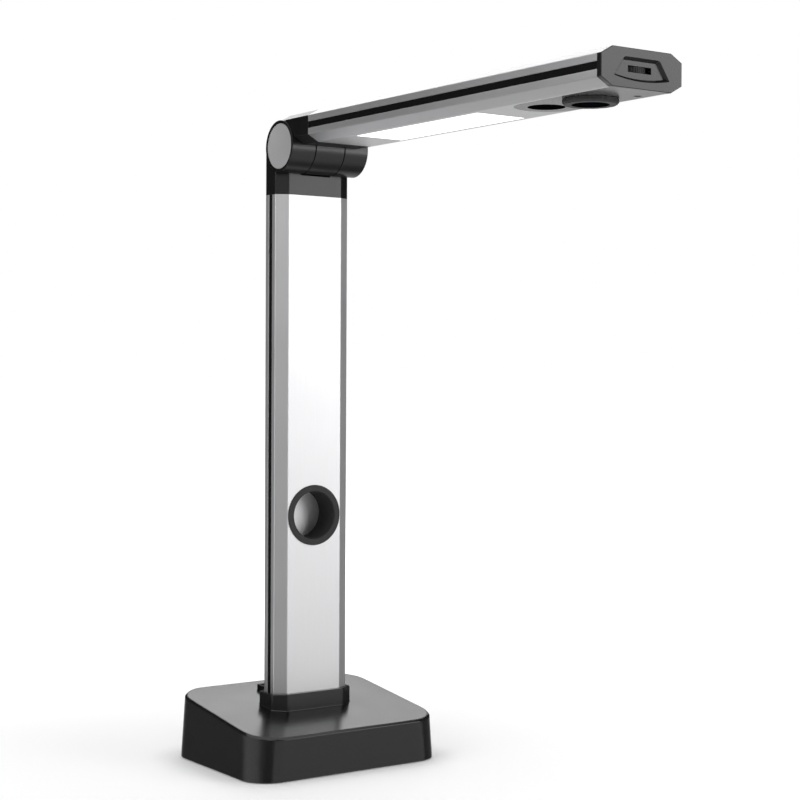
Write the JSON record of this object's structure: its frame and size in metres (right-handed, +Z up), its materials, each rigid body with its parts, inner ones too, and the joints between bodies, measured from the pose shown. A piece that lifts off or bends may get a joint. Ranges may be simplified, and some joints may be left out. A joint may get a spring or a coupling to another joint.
{
  "type": "document camera",
  "caption": "Folding desk document camera: a weighted sloping base, a slim silver column, and a hinged silver arm with a lamp, a lens in a turning ring and a thumbwheel.",
  "frame": {"origin": "on the table plane, at the middle of the anti-slip pad's footprint across and under the column's axis", "axes": "+Z up, +X across the width, the arm reaches out along -Y when it is open"},
  "size_m": [0.128, 0.3354, 0.3762],
  "materials": {
    "black_gloss": "smooth black moulding with a fine satin gloss",
    "black_matte": "fine matt black",
    "silver_anodised": "bead-blasted and clear anodised",
    "silver_disc": "spun, clear anodised",
    "grey_gloss": "polished grey",
    "black_glass": "polished, black behind",
    "milky_white": "milky diffuser",
    "white_plastic": "matt white",
    "lamp_chip": "phosphor yellow",
    "board_green": "solder mask",
    "chip_black": "moulded package",
    "steel": "plain",
    "screw_steel": "zinc plated",
    "zinc_cast": "as cast",
    "bearing_brass": "turned",
    "friction_plastic": "natural",
    "clear_glass": "coated",
    "soft_pad": "fine grain",
    "wire_sheath": "smooth"
  },
  "bodies": {
    "stand": {"base_shell": "black_gloss", "base_top_cover": "black_gloss", "base_floor": "black_matte", "base_screws": "screw_steel", "anti_slip_pad": "soft_pad", "ballast_plate": "steel", "foot_bracket": "zinc_cast", "foot_bolts": "screw_steel", "foot_screws": "screw_steel", "base_collar": "black_gloss", "wire_cover": "black_gloss", "main_board": "board_green", "board_standoffs": "bearing_brass", "board_screws": "screw_steel", "board_chips": "chip_black", "data_socket": "steel", "socket_tongue": "chip_black", "column_extrusion": "silver_anodised", "column_strip_left": "black_matte", "column_strip_right": "black_matte", "pocket_sleeve": "black_matte", "column_wires": "wire_sheath", "neck_block": "black_gloss", "neck_screws": "screw_steel", "hinge_shaft": "steel", "spring_washers": "steel", "shaft_nut": "steel", "friction_washers": "friction_plastic", "hinge_disc_left": "silver_disc", "hinge_disc_right": "silver_disc"},
    "arm": {"arm_hinge_block": "black_gloss", "hinge_bushing": "bearing_brass", "arm_extrusion": "silver_anodised", "arm_screws": "screw_steel", "arm_strip_left": "black_matte", "arm_strip_right": "black_matte", "lamp_diffuser": "milky_white", "lamp_frame": "white_plastic", "lamp_board": "board_green", "lamp_leds": "lamp_chip", "camera_plate": "grey_gloss", "aux_window": "black_glass", "aux_sensor": "chip_black", "lens_housing": "black_matte", "sensor_board": "board_green", "image_sensor": "chip_black", "microphone": "chip_black", "arm_wires": "wire_sheath", "end_cap": "black_gloss", "dimmer_control": "black_matte", "dimmer_board": "board_green"},
    "focus_ring": {"focus_ring": "black_matte", "lens_glass": "black_glass", "lens_barrel": "black_matte", "lens_elements": "clear_glass", "ring_clip": "steel"},
    "dimmer_wheel": {"dimmer_wheel": "black_matte"}
  },
  "joints": [
    {"name": "arm_fold", "type": "hinge", "parent": "stand", "child": "arm", "pos_m": [0, -0.01095, 0.3579], "axis": [1, 0, 0], "range_deg": [0, 89]},
    {"name": "focus_turn", "type": "hinge", "parent": "arm", "child": "focus_ring", "pos_m": [0, -0.252, 0.356], "axis": [0, 0, 1], "range_deg": [-90, 90]},
    {"name": "dimmer_turn", "type": "hinge", "parent": "arm", "child": "dimmer_wheel", "pos_m": [0, -0.2777, 0.36705], "axis": [0, 0, 1], "range_deg": [-135, 135]}
  ]
}
